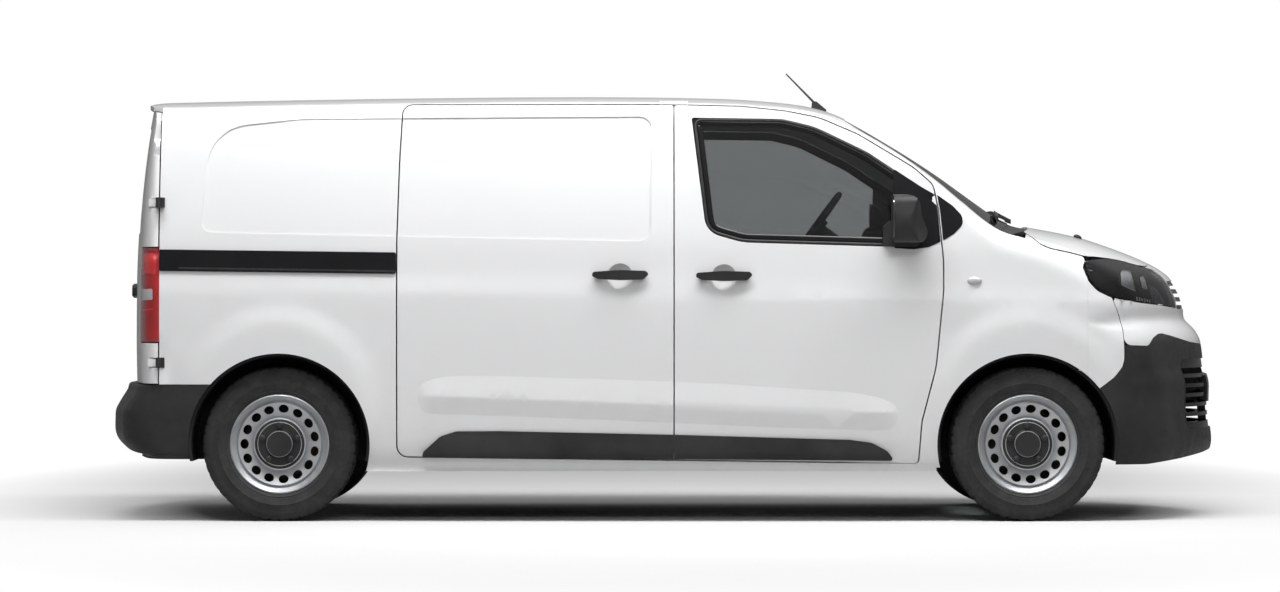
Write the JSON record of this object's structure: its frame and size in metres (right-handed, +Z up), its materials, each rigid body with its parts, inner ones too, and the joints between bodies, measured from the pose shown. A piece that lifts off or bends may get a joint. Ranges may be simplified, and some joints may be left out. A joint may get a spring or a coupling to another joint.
{
  "type": "panel van",
  "caption": "White panel van with a sliding side door, double rear doors, steel wheels and black lower trim.",
  "frame": {"origin": "on the ground under the middle of the overall box", "axes": "+X forward, +Y to the left of the vehicle, +Z up; the wheels stand on z = 0"},
  "size_m": [4.983, 2.1924, 2.0051],
  "materials": {
    "white_paint": "gloss",
    "black_plastic": "matte",
    "window_glass": "polished",
    "lamp_clear": "gloss",
    "lamp_red": "gloss",
    "grey_metal": "satin",
    "dark_steel": "matte",
    "seat_fabric": "matte",
    "wheel_rubber": "matte",
    "wheel_silver": "satin",
    "steering_black": "matte"
  },
  "bodies": {
    "van_body": {"side_frame_right": "white_paint", "side_frame_left": "white_paint", "roof_panel": "white_paint", "windscreen": "window_glass", "scuttle": "black_plastic", "front_wings": "white_paint", "headlamps": "lamp_clear", "front_bumper": "white_paint", "upper_grille": "black_plastic", "front_bumper_lower": "black_plastic", "lower_grille": "black_plastic", "tail_lamps": "lamp_red", "rear_bumper": "black_plastic", "slide_door": "white_paint", "slide_rail_cover": "black_plastic", "side_trim": "black_plastic", "front_carrier": "black_plastic", "door_hinges": "black_plastic", "antenna": "black_plastic", "wipers": "black_plastic", "side_repeaters": "lamp_clear", "floor_pan": "grey_metal", "bulkhead": "grey_metal", "arch_liners": "black_plastic", "engine_block": "dark_steel", "front_subframe": "dark_steel", "fuel_tank": "grey_metal", "exhaust": "dark_steel", "rear_axle": "dark_steel", "dashboard": "black_plastic", "cab_seats": "seat_fabric"},
    "cab_door_left": {"front_door_left": "white_paint", "door_glass_left": "window_glass", "door_trim_left": "black_plastic", "mirror_left": "black_plastic"},
    "cab_door_right": {"front_door_right": "white_paint", "door_glass_right": "window_glass", "door_trim_right": "black_plastic", "mirror_right": "black_plastic"},
    "tail_door_left": {"rear_door_left": "white_paint"},
    "tail_door_right": {"rear_door_right": "white_paint", "rear_door_handle": "black_plastic"},
    "bonnet_lid": {"bonnet": "white_paint"},
    "steering_hand": {"steering_wheel": "steering_black"},
    "hub_left": {"knuckle_left": "dark_steel"},
    "hub_right": {"knuckle_right": "dark_steel"},
    "wheel_front_left": {"rim_front_left": "wheel_silver", "tyre_front_left": "wheel_rubber"},
    "wheel_front_right": {"rim_front_right": "wheel_silver", "tyre_front_right": "wheel_rubber"},
    "wheel_rear_left": {"rim_rear_left": "wheel_silver", "tyre_rear_left": "wheel_rubber"},
    "wheel_rear_right": {"rim_rear_right": "wheel_silver", "tyre_rear_right": "wheel_rubber"}
  },
  "joints": [
    {"name": "cab_door_right_hinge", "type": "hinge", "parent": "van_body", "child": "cab_door_right", "pos_m": [1.214, -0.954, 0.9], "axis": [0, 0, 1], "range_deg": [0, 70]},
    {"name": "cab_door_left_hinge", "type": "hinge", "parent": "van_body", "child": "cab_door_left", "pos_m": [1.214, 0.954, 0.9], "axis": [0, 0, -1], "range_deg": [0, 70]},
    {"name": "tail_door_right_hinge", "type": "hinge", "parent": "van_body", "child": "tail_door_right", "pos_m": [-2.217, -0.9423, 1], "axis": [0, 0, 1], "range_deg": [0, 180]},
    {"name": "tail_door_left_hinge", "type": "hinge", "parent": "van_body", "child": "tail_door_left", "pos_m": [-2.217, 0.9423, 1], "axis": [0, 0, -1], "range_deg": [0, 180]},
    {"name": "bonnet_hinge", "type": "hinge", "parent": "van_body", "child": "bonnet_lid", "pos_m": [1.5195, 0, 1.294], "axis": [0, -1, 0], "range_deg": [0, 55]},
    {"name": "steering", "type": "hinge", "parent": "van_body", "child": "steering_hand", "pos_m": [0.707, 0.43, 1.31], "axis": [-0.809, 0, 0.5878], "range_deg": [-525, 525]},
    {"name": "steer_left", "type": "hinge", "parent": "van_body", "child": "hub_left", "pos_m": [1.5835, 0.747, 0.338], "axis": [0, 0, 1], "range_deg": [-35, 35]},
    {"name": "steer_right", "type": "hinge", "parent": "van_body", "child": "hub_right", "pos_m": [1.5835, -0.747, 0.338], "axis": [0, 0, 1], "range_deg": [-35, 35]},
    {"name": "spin_front_left", "type": "hinge", "parent": "hub_left", "child": "wheel_front_left", "pos_m": [1.5835, 0.807, 0.338], "axis": [0, 1, 0], "continuous": true},
    {"name": "spin_front_right", "type": "hinge", "parent": "hub_right", "child": "wheel_front_right", "pos_m": [1.5835, -0.807, 0.338], "axis": [0, 1, 0], "continuous": true},
    {"name": "spin_rear_left", "type": "hinge", "parent": "van_body", "child": "wheel_rear_left", "pos_m": [-1.6915, 0.8, 0.338], "axis": [0, 1, 0], "continuous": true},
    {"name": "spin_rear_right", "type": "hinge", "parent": "van_body", "child": "wheel_rear_right", "pos_m": [-1.6915, -0.8, 0.338], "axis": [0, 1, 0], "continuous": true}
  ],
  "couplings": [
    {"joint": "steer_left", "follows": "steering", "ratio": 0.066667},
    {"joint": "steer_right", "follows": "steering", "ratio": 0.066667}
  ]
}
